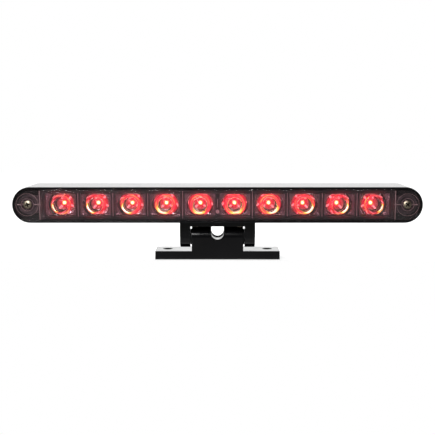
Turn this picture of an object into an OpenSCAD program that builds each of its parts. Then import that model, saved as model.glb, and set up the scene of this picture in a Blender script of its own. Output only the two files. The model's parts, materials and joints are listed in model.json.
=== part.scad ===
// Third brake light: a slim lamp bar behind a smoked lens, carried by a tilting yoke on a two-hole foot.
// The bar lies along X and the lens faces -Y. The origin is midway between the holes, on the underside.

/* [Housing] */
// Length of the housing, end to end
housing_w = 235; // [190:1:300]
// Height of the housing, which is also the diameter of its round ends
housing_h = 20.6; // [17.1:0.1:26]
// Depth of the housing, from the front rim to the back face
housing_d = 28; // [23:0.5:40]
// Distance of the front rim ahead of the mounting holes
front_reach = 16.9; // [15:0.1:20]
// Wall of the housing behind the seal ledge
wall = 2.2; // [1.8:0.1:2.7]
// Wall of the front rim that stands round the lens
rim_wall = 1.2; // [0.8:0.1:1.5]
// Thickness of the back wall
back_wall = 2; // [1.5:0.1:3]
// Floor left under the yoke screw heads
screw_floor = 1.2; // [1:0.1:1.5]
// Radius of the posts that hold the lens screws' inserts
post_r = 4.6; // [4:0.1:5.6]

/* [Lens] */
// Thickness of the lens moulding
lens_t = 1.4; // [1.2:0.1:1.8]
// How far the lens flange lies behind the rim
lens_sink = 1; // [0.6:0.1:1.6]
// How far the raised block stands in front of the rim
block_proud = 0.5; // [0.2:0.1:1]
// Strip of flange left above and below the raised block
block_step = 0.25; // [0.2:0.05:0.5]
// Length of each end cap, from the housing's end to the raised block
cap_l = 15.4; // [15:0.1:20]
// Distance of each lens screw from the housing's end
screw_inset = 8.3; // [7.8:0.1:9]
// Radius of the well round each lens screw's head
well_r = 3.2; // [2.9:0.1:3.6]
// Wall of that well
well_wall = 1; // [0.8:0.1:1.2]
// Depth of the well below the flange's face
well_depth = 1.9; // [1.7:0.1:2.2]
// Thickness of the ribs beside each well
rib_t = 1.4; // [1:0.1:2]
// Thickness of the gasket behind the flange
gasket_t = 0.8; // [0.6:0.1:1.2]
// Turn of the left lens screw's cross, in degrees
left_turn = 12; // [0:1:89]
// Turn of the right lens screw's cross, in degrees
right_turn = 45; // [0:1:89]

/* [Light engine] */
// Spacing of the LEDs
led_pitch = 20; // [18:0.5:26]
// Distance of the LEDs' chips behind the lens's front
led_depth = 11.9; // [11.5:0.1:13]
// Side of an LED's square body
led_size = 7.6; // [5:0.1:7.8]
// Height of an LED's square body
led_t = 1.9; // [1.5:0.1:2.2]
// Diameter of an LED's dome
dome_d = 3; // [2.6:0.1:3.6]
// Diameter of an optic's round face
optic_d = 15.3; // [12:0.1:15.4]
// Gap above and below an optic's flats
optic_gap = 0.5; // [0.2:0.05:0.8]
// Gap between an end optic and the end of the window, at the least
end_gap = 0.4; // [0.2:0.1:2]
// How far an optic's face stands behind the lens's front
optic_depth = 2.9; // [2.6:0.1:3.2]
// Width of the divider between two cells
divider_w = 2.6; // [2:0.1:3.4]
// Width of the groove down each divider's face
groove_w = 0.5; // [0.3:0.05:0.8]
// Room between the bezel's lip and the lens's inner face
lip_gap = 0.8; // [0.4:0.1:1]
// Distance of the bezel's ends inside the raised block's ends
bezel_inset = 0.6; // [0.3:0.1:1]
// Border of the bezel beyond the window, at its ends
bezel_end = 2.8; // [2:0.1:4]
// Border of the bezel above and below the window
bezel_edge = 1.35; // [1:0.05:1.6]
// Thickness of the bezel, carrier and tray plates
plate_t = 1; // [0.8:0.1:1.2]
// Wall of the tray
tray_wall = 0.9; // [0.8:0.05:1.1]
// How far the tray's flange stands past its box at each end
tray_lip = 1; // [0.5:0.1:1.5]
// Room in the tray behind the circuit board
tray_room = 4.4; // [4.3:0.1:5.5]
// Radius of the tray's ears, which the lens screws clamp
ear_r = 5.9; // [5:0.1:5.9]
// Width of the strips that join the ears to the tray
ear_neck = 9.8; // [6:0.1:10]
// Thickness of the circuit board
board_t = 1.6; // [1:0.1:1.6]
// Gap between an optic's side and its reflector cup
cup_gap = 0.35; // [0.2:0.05:0.6]
// Gap between an optic and its LED's dome
dome_gap = 0.8; // [0.4:0.1:1]
// Height of the light's centre above the LED's body
chip_rise = 0.5; // [0.3:0.1:0.8]

/* [Yoke] */
// Thickness of each arm
arm_t = 6.1; // [5:0.1:8]
// Thickness of the crossbar under the housing
crossbar_t = 3.25; // [3:0.05:5]
// Radius of the hinge barrel and of the arms' round ends
barrel_r = 6.2; // [5.2:0.1:8]
// Spacing of the screws that hold the yoke to the housing
yoke_pitch = 26; // [22:0.5:32]
// Diameter of the hole that the lamp's lead passes through, in the grommet
lead_d = 4.5; // [3:0.1:4.8]
// Wall of the grommet
grommet_wall = 1.05; // [0.8:0.05:1.2]
// Thickness of the grommet's flange, inside the housing
grommet_flange = 0.8; // [0.5:0.1:0.9]
// How far that flange stands past the grommet's wall
grommet_lip = 1.2; // [0.8:0.1:1.6]

/* [Foot] */
// Length of the foot's plate
foot_w = 73.1; // [68:0.1:90]
// Depth of the foot's plate
foot_d = 17.3; // [14:0.1:24]
// Thickness of the foot's plate
foot_t = 5; // [3:0.1:7]
// Spacing of the two mounting holes
hole_pitch = 59.2; // [54:0.1:60]
// Diameter of the mounting holes
hole_d = 5.6; // [4:0.1:6.5]
// Width of the tongue between the yoke's arms
tongue_w = 30.2; // [28:0.1:36]
// Width of the notch for the lead
notch_w = 7.4; // [5:0.1:8.5]
// Lowest point of the notch, below the hinge axis
notch_drop = 0.85; // [0:0.05:1.5]
// Height of the lip at the back of the notch
notch_lip_h = 0.6; // [0.3:0.05:1]
// Thickness of that lip
notch_lip_t = 1.7; // [1:0.1:4]

/* [Fasteners] */
// Thread diameter of the pivot screws
pivot_d = 4; // [3:0.1:5]
// Head diameter of the pivot screws
pivot_head_d = 7; // [6:0.1:8]
// Head height of the pivot screws
pivot_head_h = 2.3; // [1.8:0.1:2.8]
// How far the pivot screws' heads stand out of the arms
pivot_proud = 0.25; // [0.1:0.05:0.6]
// Thread that each pivot screw has in the tongue
pivot_grip = 8; // [6:0.5:10]
// Outside diameter of the friction washers
washer_d = 9.3; // [8:0.1:10.4]
// Thickness of the friction washers
washer_t = 0.75; // [0.5:0.05:1]
// Thread diameter of the lens screws
lens_screw_d = 3; // [2.5:0.1:3.2]
// Head diameter of the lens screws
lens_head_d = 4.8; // [4.4:0.1:5.4]
// Head height of the lens screws
lens_head_h = 1.6; // [1.3:0.1:1.7]
// Length of the brass inserts in the posts
insert_l = 5; // [4:0.1:8]
// Wall of the brass inserts
insert_wall = 0.8; // [0.6:0.05:1]
// Thread diameter of the yoke screws
yoke_screw_d = 3; // [2.5:0.1:3.2]
// Head diameter of the yoke screws
yoke_head_d = 5.5; // [5:0.1:6]
// Head height of the yoke screws
yoke_head_h = 1.8; // [1.5:0.1:2]
// Free depth behind each insert, for the tip of its screw
tip_room = 3; // [1:0.5:6]
// Thread diameter of the board screws
board_screw_d = 2; // [1.6:0.1:2.2]
// Head diameter of the board screws
board_head_d = 3.4; // [3:0.1:4]
// Head height of the board screws
board_head_h = 1.2; // [0.9:0.1:1.4]

/* [Clearances] */
// Gap round a part that drops into another
slip = 0.1; // [0.05:0.01:0.15]
// Radial gap between a screw's thread and what it is screwed into
thread_gap = 0.05; // [0.03:0.01:0.08]
// Radial gap between a pivot screw and its arm
pivot_gap = 0.06; // [0.03:0.01:0.1]
// Gap between each friction washer and its arm
washer_gap = 0.1; // [0.05:0.01:0.2]
// Gap between the hinge barrel and the crossbar
barrel_gap = 0.6; // [0.4:0.1:1]
// Gap between the arms' round ends and the foot's plate
foot_gap = 1.55; // [0.8:0.05:2]

/* [Hidden] */
$fn = 64;
eps = 0.5;                                             // how far a cut runs past a face

// Heights, from the foot up
hinge_z = foot_t + foot_gap + barrel_r;
hinge_y = barrel_r - foot_d / 2;
crossbar_z = hinge_z + barrel_r + barrel_gap;
housing_z = crossbar_z + crossbar_t;
bar_z = housing_z + housing_h / 2;

// Depths, from the lens back
front_y = -front_reach;
back_y = front_y + housing_d;
lens_front = front_y - block_proud;
flange_front = front_y + lens_sink;
flange_back = flange_front + lens_t;
ledge_y = flange_back + gasket_t;
bezel_front = lens_front + lens_t + lip_gap;
bezel_mid = flange_back + slip;
bezel_back = bezel_mid + plate_t;
carrier_front = bezel_back + slip;
carrier_back = carrier_front + plate_t;
tray_front = carrier_back + slip;
tray_seat = tray_front + plate_t;
led_front = lens_front + led_depth;
board_front = led_front + led_t;
board_back = board_front + board_t;
tray_inner_back = board_back + tray_room;
tray_back = tray_inner_back + tray_wall;
well_floor = flange_front + well_depth;

// Lengths and heights of what lies behind the lens
flange_w = housing_w - 2 * (rim_wall + slip);
flange_h = housing_h - 2 * (rim_wall + slip);
block_w = housing_w - 2 * cap_l;
block_h = flange_h - 2 * block_step;
cavity_w = housing_w - 2 * wall;
cavity_h = housing_h - 2 * wall;
lens_inner_w = block_w - 2 * lens_t;
lens_inner_h = block_h - 2 * lens_t;
bezel_w = block_w - 2 * bezel_inset;
bezel_h = cavity_h - 3 * slip;
window_w = bezel_w - 2 * bezel_end;
window_h = bezel_h - 2 * bezel_edge;
tray_h = housing_h - 2 * (screw_floor + yoke_head_h + 1.5 * slip);
tray_w = bezel_w - 2 * tray_lip;
tray_inner_w = tray_w - 2 * tray_wall;
tray_inner_h = tray_h - 2 * tray_wall;
board_w = tray_inner_w - 4 * slip;
board_h = tray_inner_h - 4 * slip;
reflector_w = tray_inner_w - 2 * slip;
reflector_h = tray_inner_h - 2 * slip;
optic_h = window_h - 2 * optic_gap;

// The side of an optic: a parabola about its LED, that sends the light straight forward
chip_y = led_front - chip_rise;
optic_reach = chip_y - carrier_back;
focal = (norm([optic_reach, optic_d / 2]) - optic_reach) / 2;
function side_r(u) = 2 * sqrt(focal * (u + focal));    // its radius, at a distance ahead of the chip

// The row of LEDs: as many as the window holds at the chosen pitch
led_count = floor((window_w - optic_d - 2 * end_gap) / led_pitch) + 1;
function led_x(i) = (i - (led_count - 1) / 2) * led_pitch;
function gap_x(i) = led_x(i) + led_pitch / 2;
board_screw_x = [gap_x(0), gap_x(led_count - 2)];
post_x = housing_w / 2 - screw_inset;

// Fasteners and grommet
grommet_d = lead_d + 2 * grommet_wall;
insert_r = lens_screw_d / 2 + thread_gap + insert_wall;
insert_end = tray_seat + insert_l;

// Across the hinge
arm_inner = tongue_w / 2 + washer_t + washer_gap;
arm_outer = arm_inner + arm_t;
head_seat = arm_outer + pivot_proud - pivot_head_h;    // underside of a pivot screw's head

black = "#15161a";
smoke = [0.20, 0.15, 0.16, 0.55];
steel = "#b9b6ad";
component = "#2a2a2d";

// Driver parts: length, height and thickness
resistor = [6.3, 3.2, 0.6];
diode = [4.3, 2.6, 2.2];
regulator = [6.5, 3.5, 1.6];
capacitor_foot = [5, 5, 0.6];
capacitor_d = 4.8;
capacitor_t = 4;
header = [7, 4.6, 4];
header_wall = 0.7;
pin_w = 0.6;
pin_pitch = 2.5;
part_pitch = 10;                                       // of the driver parts along the board
resistor_edge = 0.7;                                   // from the resistors to the board's upper edge
header_edge = 1.1;                                     // from the header to the board's lower edge
upper_row = (board_h - resistor[1]) / 2 - resistor_edge;
lower_row = (header[1] - board_h) / 2 + header_edge;   // of all the driver parts but the resistors

// Cross recess of a screw, as shares of its head
cross_l = 0.6;
cross_w = 0.17;
cross_floor = 0.4;
crown_share = 0.45;                                    // of the head's height that is domed

// ---- Shapes used by several sub-parts ----

// A bar along X with round ends, w by h, between two depths
module stadium(w, h, y0, y1) {
    translate([0, y1, bar_z]) rotate([90, 0, 0]) linear_extrude(y1 - y0) {
        square([w - h, h], center = true);
        for (s = [-1, 1]) translate([s * (w - h) / 2, 0]) circle(d = h);
    }
}

// A block w by h about a point of the bar's face, between two depths
module slab(w, h, y0, y1, x = 0, z = 0) {
    translate([x - w / 2, y0, bar_z + z - h / 2]) cube([w, y1 - y0, h]);
}

// A round rod along Y about a point of the bar's face
module rod(r, y0, y1, x = 0, z = 0) {
    translate([x, y1, bar_z + z]) rotate([90, 0, 0]) cylinder(r = r, h = y1 - y0);
}

// A rod along X on the hinge axis, on one side of the middle or the other, between two distances from it
module side_axle(s, r, x0, x1) {
    translate([s < 0 ? -x1 : x0, hinge_y, hinge_z]) rotate([0, 90, 0]) cylinder(r = r, h = x1 - x0);
}

// A cross-recess screw: its head stands on z = 0 and its shank hangs below
module screw(d, head_d, head_h, l, turn = 0) {
    crown = crown_share * head_h;
    dome_r = (pow(head_d / 2, 2) + crown * crown) / (2 * crown);
    difference() {
        intersection() {
            cylinder(d = head_d, h = head_h);
            translate([0, 0, head_h - dome_r]) sphere(r = dome_r);
        }
        rotate([0, 0, turn]) for (a = [0, 90]) rotate([0, 0, a])
            translate([-cross_l * head_d / 2, -cross_w * head_d / 2, cross_floor * head_h])
                cube([cross_l * head_d, cross_w * head_d, head_h]);
    }
    translate([0, 0, -l]) cylinder(d = d, h = l);
}

// ---- Foot ----

// Foot: a plate with two mounting holes, and a barrel-topped tongue with a lipped notch for the lead
module base_bracket() {
    color(black) difference() {
        union() {
            translate([-foot_w / 2, -foot_d / 2, 0]) cube([foot_w, foot_d, foot_t]);
            translate([-tongue_w / 2, -foot_d / 2, foot_t]) cube([tongue_w, 2 * barrel_r, hinge_z - foot_t]);
            side_axle(1, barrel_r, -tongue_w / 2, tongue_w / 2);
        }
        for (s = [-1, 1]) translate([s * hole_pitch / 2, 0, -eps]) cylinder(d = hole_d, h = foot_t + 2 * eps);
        notch(-foot_d / 2 - eps, hinge_y + barrel_r - notch_lip_t, hinge_z - notch_drop);
        notch(-foot_d / 2 - eps, hinge_y + barrel_r + eps, hinge_z - notch_drop + notch_lip_h);
        for (s = [-1, 1])
            side_axle(s, pivot_d / 2 + thread_gap, tongue_w / 2 - pivot_grip - eps, tongue_w / 2 + eps);
    }
}

// A round-bottomed slot, open upwards, between two depths
module notch(y0, y1, floor_z) {
    translate([0, y1, floor_z + notch_w / 2]) rotate([90, 0, 0]) cylinder(d = notch_w, h = y1 - y0);
    translate([-notch_w / 2, y0, floor_z + notch_w / 2]) cube([notch_w, y1 - y0, 3 * barrel_r]);
}

// Pivot screws: one from each side, so that the notch between them stays free
module pivot_screws() {
    color(black) for (s = [-1, 1])
        translate([s * head_seat, hinge_y, hinge_z]) rotate([0, s * 90, 0])
            screw(pivot_d, pivot_head_d, pivot_head_h, head_seat - tongue_w / 2 + pivot_grip, 20);
}

// Friction washers: they fill the gaps between the tongue and the arms
module pivot_washers() {
    color("#222222") for (s = [-1, 1]) difference() {
        side_axle(s, washer_d / 2, tongue_w / 2, tongue_w / 2 + washer_t);
        side_axle(s, pivot_d / 2 + slip, tongue_w / 2 - eps, arm_inner + eps);
    }
}

// ---- Yoke ----

// Yoke: a crossbar under the housing, and an arm down each side of the tongue, with a pocket for a pivot head
module yoke_bracket() {
    color(black) difference() {
        union() {
            translate([-arm_outer, hinge_y - barrel_r, crossbar_z])
                cube([2 * arm_outer, 2 * barrel_r, crossbar_t]);
            for (s = [-1, 1]) {
                translate([s < 0 ? -arm_outer : arm_inner, hinge_y - barrel_r, hinge_z])
                    cube([arm_t, 2 * barrel_r, crossbar_z - hinge_z]);
                side_axle(s, barrel_r, arm_inner, arm_outer);
            }
        }
        for (s = [-1, 1]) {
            side_axle(s, pivot_d / 2 + pivot_gap, arm_inner - eps, arm_outer + eps);
            side_axle(s, pivot_head_d / 2 + 2 * slip, head_seat - thread_gap, arm_outer + eps);
            translate([s * yoke_pitch / 2, hinge_y, crossbar_z - eps])
                cylinder(d = yoke_screw_d + 2 * thread_gap, h = crossbar_t + 2 * eps);
        }
        translate([0, hinge_y, crossbar_z - eps])
            cylinder(d = grommet_d + 2 * thread_gap, h = crossbar_t + 2 * eps);
    }
}

// Yoke screws: put in from inside the housing, through its floor
module yoke_screws() {
    color(steel) for (s = [-1, 1])
        translate([s * yoke_pitch / 2, hinge_y, housing_z + screw_floor])
            screw(yoke_screw_d, yoke_head_d, yoke_head_h, screw_floor + crossbar_t - slip, 30);
}

// Grommet: it lines the lead's way through the floor and the crossbar, with a flange inside
module cable_grommet() {
    color("#1b1b1b") translate([0, hinge_y, 0]) difference() {
        union() {
            translate([0, 0, crossbar_z]) cylinder(d = grommet_d, h = crossbar_t + wall);
            translate([0, 0, housing_z + wall]) cylinder(d = grommet_d + 2 * grommet_lip, h = grommet_flange);
        }
        translate([0, 0, crossbar_z - eps])
            cylinder(d = lead_d, h = crossbar_t + wall + grommet_flange + 2 * eps);
    }
}

// ---- Housing ----

// Housing: a round-ended trough, open at the front, with a ledge for the gasket and a post at each end
module housing_shell() {
    color(black) difference() {
        union() {
            difference() {
                stadium(housing_w, housing_h, front_y, back_y);
                stadium(housing_w - 2 * rim_wall, housing_h - 2 * rim_wall, front_y - eps, ledge_y);
                stadium(cavity_w, cavity_h, front_y - eps, back_y - back_wall);
            }
            for (s = [-1, 1]) rod(post_r, tray_seat, back_y - back_wall / 2, s * post_x);
        }
        for (s = [-1, 1]) {
            rod(insert_r + thread_gap, tray_seat - eps, insert_end, s * post_x);
            rod(lens_screw_d / 2 + slip, tray_seat, insert_end + tip_room, s * post_x);
            translate([s * yoke_pitch / 2, hinge_y, housing_z - eps])
                cylinder(d = yoke_screw_d + 2 * slip, h = wall + 2 * eps);
            translate([s * yoke_pitch / 2, hinge_y, housing_z + screw_floor])
                cylinder(d = yoke_head_d + 2 * slip, h = wall);
        }
        translate([0, hinge_y, housing_z - eps]) cylinder(d = grommet_d + 2 * thread_gap, h = wall + 2 * eps);
    }
}

// Inserts: brass bushes with the lens screws' threads
module post_inserts() {
    color("#b08d4a") for (s = [-1, 1]) difference() {
        rod(insert_r, tray_seat, insert_end - slip, s * post_x);
        rod(lens_screw_d / 2 + thread_gap, tray_seat - eps, insert_end + eps, s * post_x);
    }
}

// Gasket: a flat ring between the lens's flange and the housing's ledge
module lens_gasket() {
    color("#26262a") difference() {
        stadium(flange_w, flange_h, flange_back, ledge_y);
        stadium(cavity_w, cavity_h, flange_back - eps, ledge_y + eps);
    }
}

// ---- Light engine ----

// Tray: it holds the board and reflectors, and its ears are clamped between the lens and the posts
module lamp_tray() {
    color("#202024") difference() {
        union() {
            slab(bezel_w, bezel_h, tray_front, tray_seat);
            slab(tray_w, tray_h, tray_seat, tray_back);
            for (s = [-1, 1]) {
                rod(ear_r, tray_front, tray_seat, s * post_x);
                slab(post_x - bezel_w / 2 + plate_t, ear_neck, tray_front, tray_seat,
                    s * (post_x + bezel_w / 2 - plate_t) / 2);
            }
        }
        difference() {
            slab(tray_inner_w, tray_inner_h, tray_front - eps, tray_inner_back);
            for (x = board_screw_x) rod(board_screw_d, board_back, tray_back, x);
        }
        for (x = board_screw_x) rod(board_screw_d / 2 + thread_gap, board_back - eps, tray_inner_back, x);
        for (s = [-1, 1]) rod(lens_screw_d / 2 + slip, tray_front - eps, tray_seat + eps, s * post_x);
        slab(grommet_d + 2 * slip, tray_h, board_back - lead_d, tray_back + eps, 0, -tray_h / 2);
    }
}

// Circuit board: one long strip, with holes for its two screws
module circuit_board() {
    color("#1f5a36") difference() {
        slab(board_w, board_h, board_front, board_back);
        for (x = board_screw_x) rod(board_screw_d / 2 + slip, board_front - eps, board_back + eps, x);
    }
}

// Board screws: they stand in front of the board, in the gaps beside the end LEDs
module board_screws() {
    color(steel) for (x = board_screw_x) translate([x, board_front, bar_z]) rotate([90, 0, 0])
        screw(board_screw_d, board_head_d, board_head_h, board_t + tray_room - 2 * slip, 45);
}

// LED packages: square bodies on the board
module led_packages() {
    color("#d8d4cc") for (i = [0:led_count - 1]) slab(led_size, led_size, led_front, board_front, led_x(i));
}

// LED domes: each stands on its package and spreads the light
module led_domes() {
    color([1, 0.45, 0.35, 0.8]) for (i = [0:led_count - 1]) intersection() {
        translate([led_x(i), led_front, bar_z]) sphere(d = dome_d);
        slab(2 * dome_d, 2 * dome_d, led_front - dome_d, led_front, led_x(i));
    }
}

// A solid with an optic's parabolic side, wider by a gap, between two depths
module bowl(gap, y0, y1, x) {
    steps = 10;
    u0 = chip_y - y1;
    u1 = chip_y - y0;
    side = [for (k = [0:steps]) let (u = u0 + (u1 - u0) * k / steps) [side_r(u) + gap, u]];
    translate([x, chip_y, bar_z]) rotate([90, 0, 0]) rotate_extrude() polygon([[0, u0], each side, [0, u1]]);
}

// Reflectors: one moulded strip with a parabolic cup round each LED, cut open above and below
module reflector_strip() {
    back = led_front - slip;
    color("#c9c9cc") difference() {
        slab(reflector_w, reflector_h, tray_front, back);
        for (i = [0:led_count - 1]) bowl(cup_gap, tray_front, back, led_x(i));
    }
}

// Optics: one clear strip of round faces, cut flat above and below, each running back round its LED's dome
module optic_strip() {
    back = led_front - 1.5 * slip;
    color([1, 0.75, 0.72, 0.5]) {
        slab(bezel_w - 2 * slip, window_h + bezel_edge, carrier_front, carrier_back);
        for (i = [0:led_count - 1]) {
            intersection() {
                rod(optic_d / 2, lens_front + optic_depth, carrier_front, led_x(i));
                slab(optic_d, optic_h, lens_front, carrier_front, led_x(i));
            }
            difference() {
                intersection() {
                    bowl(0, carrier_back, back, led_x(i));
                    slab(optic_d, reflector_h - 2 * slip, carrier_back, back, led_x(i));
                }
                rod(dome_d / 2 + dome_gap, led_front - dome_d / 2 - dome_gap, back + eps, led_x(i));
            }
        }
    }
}

// Bezel: a plate with one opening along the LEDs, a lip inside the lens, and a grooved divider between cells
module cell_bezel() {
    color(black) {
        difference() {
            union() {
                slab(bezel_w, bezel_h, bezel_mid, bezel_back);
                slab(lens_inner_w - 2 * slip, lens_inner_h - 2 * slip, bezel_front, bezel_mid);
            }
            slab(window_w, window_h, bezel_front - eps, bezel_back + eps);
        }
        for (i = [0:led_count - 2]) difference() {
            slab(divider_w, window_h, bezel_front + slip, bezel_back, gap_x(i));
            slab(groove_w, window_h + 2 * eps, bezel_front - eps, bezel_front + plate_t, gap_x(i));
        }
    }
}

// Lens: a round-ended flange with a raised block over the window, and a well and ribs at each end
module smoked_lens() {
    well_back = tray_front - slip;
    color(smoke) difference() {
        union() {
            stadium(flange_w, flange_h, flange_front, flange_back);
            slab(block_w, block_h, lens_front, flange_back);
            for (s = [-1, 1]) {
                rod(well_r + well_wall, flange_front, well_back, s * post_x);
                slab(post_x - block_w / 2 - well_r, rib_t, flange_back, well_floor + lens_t,
                    s * (post_x + block_w / 2 - well_r) / 2);
                slab(cavity_w / 2 - post_x - well_r - 2 * slip, rib_t, flange_back, well_floor + lens_t,
                    s * (post_x + well_r + cavity_w / 2 - 2 * slip) / 2);
            }
        }
        slab(lens_inner_w, lens_inner_h, lens_front + lens_t, flange_back + eps);
        for (s = [-1, 1]) {
            rod(well_r, flange_front - eps, well_floor, s * post_x);
            rod(lens_screw_d / 2 + slip, flange_front, well_back + eps, s * post_x);
        }
    }
}

// Lens screws: they hold the lens, the tray's ears and the gasket to the housing
module lens_screws() {
    color(steel) for (s = [-1, 1]) translate([s * post_x, well_floor, bar_z]) rotate([90, 0, 0])
        screw(lens_screw_d, lens_head_d, lens_head_h, insert_end - well_floor,
            s < 0 ? left_turn : right_turn);
}

// ---- Driver parts, on the back of the board ----

// A part on the board's back: its length, height and thickness, and its place
module part_on_back(size, x, z) {
    slab(size[0], size[1], board_back, board_back + size[2], x, z);
}

// Resistors: one for each pair of LEDs
module resistors() {
    color(component) for (i = [1:2:led_count - 1]) part_on_back(resistor, led_x(i), upper_row);
}

// Diode: it protects the lamp against reversed leads
module reverse_diode() {
    color(component) part_on_back(diode, -part_pitch, lower_row);
}

// Capacitor: an upright can on a square foot
module filter_capacitor() {
    color("#9a9ca0") {
        part_on_back(capacitor_foot, -2 * part_pitch, lower_row);
        rod(capacitor_d / 2, board_back + capacitor_foot[2], board_back + capacitor_t,
            -2 * part_pitch, lower_row);
    }
}

// Regulator: it keeps the LEDs' current steady
module current_regulator() {
    color(component) part_on_back(regulator, 2 * part_pitch, lower_row);
}

// Header: the socket for the lamp's lead, open at the back, with two pins
module lead_header() {
    color("#e8e4d8") difference() {
        part_on_back(header, 0, lower_row);
        slab(header[0] - 2 * header_wall, header[1] - 2 * header_wall, board_back + 2 * header_wall,
            board_back + header[2] + eps, 0, lower_row);
    }
    color(steel) for (s = [-1, 1])
        slab(pin_w, pin_w, board_back + header_wall, board_back + header[2] - header_wall,
            s * pin_pitch / 2, lower_row);
}

base_bracket();
pivot_screws();
pivot_washers();
yoke_bracket();
yoke_screws();
cable_grommet();
housing_shell();
post_inserts();
lens_gasket();
lamp_tray();
circuit_board();
board_screws();
led_packages();
led_domes();
reflector_strip();
optic_strip();
cell_bezel();
smoked_lens();
lens_screws();
resistors();
reverse_diode();
filter_capacitor();
current_regulator();
lead_header();
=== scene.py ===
import json
import math

import bmesh
import bpy
from mathutils import Matrix, Vector


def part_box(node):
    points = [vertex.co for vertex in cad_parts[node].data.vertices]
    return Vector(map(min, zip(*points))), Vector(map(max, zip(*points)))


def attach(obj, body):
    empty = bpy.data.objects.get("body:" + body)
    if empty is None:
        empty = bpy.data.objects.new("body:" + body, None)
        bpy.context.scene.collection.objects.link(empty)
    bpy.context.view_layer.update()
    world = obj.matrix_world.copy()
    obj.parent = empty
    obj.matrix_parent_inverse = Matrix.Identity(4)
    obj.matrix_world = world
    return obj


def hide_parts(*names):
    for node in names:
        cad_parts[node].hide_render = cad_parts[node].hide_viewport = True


# A third brake light: a slim bar of ten red LED optics behind a smoked lens, tilting on a two-hole foot.
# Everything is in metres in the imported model's frame: the bar lies along X and its lens faces -Y.
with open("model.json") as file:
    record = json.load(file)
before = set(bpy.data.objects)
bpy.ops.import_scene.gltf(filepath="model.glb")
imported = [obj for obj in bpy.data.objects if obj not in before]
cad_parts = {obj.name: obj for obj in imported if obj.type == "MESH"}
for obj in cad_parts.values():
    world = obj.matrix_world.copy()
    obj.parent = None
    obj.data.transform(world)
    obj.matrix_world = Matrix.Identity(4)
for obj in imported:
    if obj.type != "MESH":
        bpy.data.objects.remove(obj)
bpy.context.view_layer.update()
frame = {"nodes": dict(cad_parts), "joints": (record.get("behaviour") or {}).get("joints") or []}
mm = 0.001


# ---- Camera and studio ----
# A long lens looks at the lamp from a little above. The lamp stands on a white floor, with a bright room
# behind it and a dark one in front, so its black mouldings stay black in front and shine along their tops.
camera = bpy.data.objects.new("camera", bpy.data.cameras.new("camera"))
camera.data.sensor_width = 36
camera.data.lens = 65.56
camera.location = (0, -467 * mm, 84.45 * mm)
camera.rotation_euler = (math.radians(82.595), 0, 0)
bpy.context.collection.objects.link(camera)
bpy.context.scene.camera = camera
bpy.context.scene.view_settings.view_transform = "Standard"


def linear(code):
    """The linear colour of an sRGB hex code."""
    shares = [int(code[k:k + 2], 16) / 255 for k in (1, 3, 5)]
    return [c / 12.92 if c <= 0.04045 else ((c + 0.055) / 1.055) ** 2.4 for c in shares] + [1]


def set_inputs(tree, node, inputs):
    """Sets a node's inputs to values, or links them to other nodes' sockets."""
    for name, value in inputs.items():
        if isinstance(value, bpy.types.NodeSocket):
            tree.links.new(value, node.inputs[name])
        else:
            node.inputs[name].default_value = value


def add_node(tree, kind, inputs, **settings):
    """Adds a node with its own settings, and its inputs as set_inputs takes them."""
    node = tree.nodes.new(kind)
    for name, value in settings.items():
        setattr(node, name, value)
    set_inputs(tree, node, inputs)
    return node


world = bpy.data.worlds.new("studio")
bpy.context.scene.world = world
world.use_nodes = True
room = world.node_tree
direction = add_node(room, "ShaderNodeTexCoord", {}).outputs["Generated"]
towards = add_node(room, "ShaderNodeSeparateXYZ", {"Vector": direction}).outputs
# How far back plus how far up a direction points: the back wall and the ceiling grow brighter together.
back_plus_up = add_node(room, "ShaderNodeMath", {0: towards["Y"], 1: towards["Z"]}).outputs["Value"]
back_and_up = add_node(room, "ShaderNodeMapRange", {
    "Value": back_plus_up, "From Min": 0.1, "From Max": 1.1, "To Min": 0.0, "To Max": 1.2,
}, interpolation_type="SMOOTHSTEP")
overhead = add_node(room, "ShaderNodeMapRange", {
    "Value": back_plus_up, "From Min": 1.09, "From Max": 1.18, "To Min": 0.0, "To Max": 1.0,
}, interpolation_type="SMOOTHSTEP")
below = add_node(room, "ShaderNodeMapRange", {
    "Value": towards["Z"], "From Min": 0.0, "From Max": -0.3, "To Min": 0.03, "To Max": 0.3,
})
brightness = add_node(room, "ShaderNodeMath", {0: back_and_up.outputs["Result"], 1: below.outputs["Result"]})
brightness = add_node(room, "ShaderNodeMath", {0: brightness.outputs["Value"], 1: overhead.outputs["Result"]})
seen = add_node(room, "ShaderNodeMix", {
    "Factor": add_node(room, "ShaderNodeLightPath", {}).outputs["Is Camera Ray"],
    "A": brightness.outputs["Value"], "B": 1.0,
})
set_inputs(room, room.nodes["Background"], {"Color": linear("#ffffff"), "Strength": seen.outputs["Result"]})

for name, place, size, power in (
    ("top soft box", (0, 60 * mm, 520 * mm), (700 * mm, 260 * mm), 9),
    ("front fill", (-160 * mm, -420 * mm, 330 * mm), (240 * mm, 160 * mm), 3.4),
    ("left strip", (-500 * mm, -20 * mm, -15 * mm), (120 * mm, 220 * mm), 0.4),
    ("right strip", (500 * mm, -20 * mm, -15 * mm), (120 * mm, 220 * mm), 0.4),
):
    light = bpy.data.objects.new(name, bpy.data.lights.new(name, "AREA"))
    light.data.shape = "RECTANGLE"
    light.data.size, light.data.size_y = size
    light.data.energy = power
    light.location = place
    aim = Vector((0, 0, 25 * mm)) - Vector(place)
    light.rotation_euler = aim.to_track_quat("-Z", "Y").to_euler()
    bpy.context.collection.objects.link(light)


def per_mm(size):
    """A texture scale whose pattern repeats about every size millimetres."""
    return 1 / (size * mm)


def new_material(name, **surface):
    """A named material, and its tree, with a Principled shader set up by socket names with _ for a space."""
    material = bpy.data.materials.new(name)
    material.use_nodes = True
    tree = material.node_tree
    set_inputs(tree, tree.nodes["Principled BSDF"], {key.replace("_", " "): v for key, v in surface.items()})
    return material, tree


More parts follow.
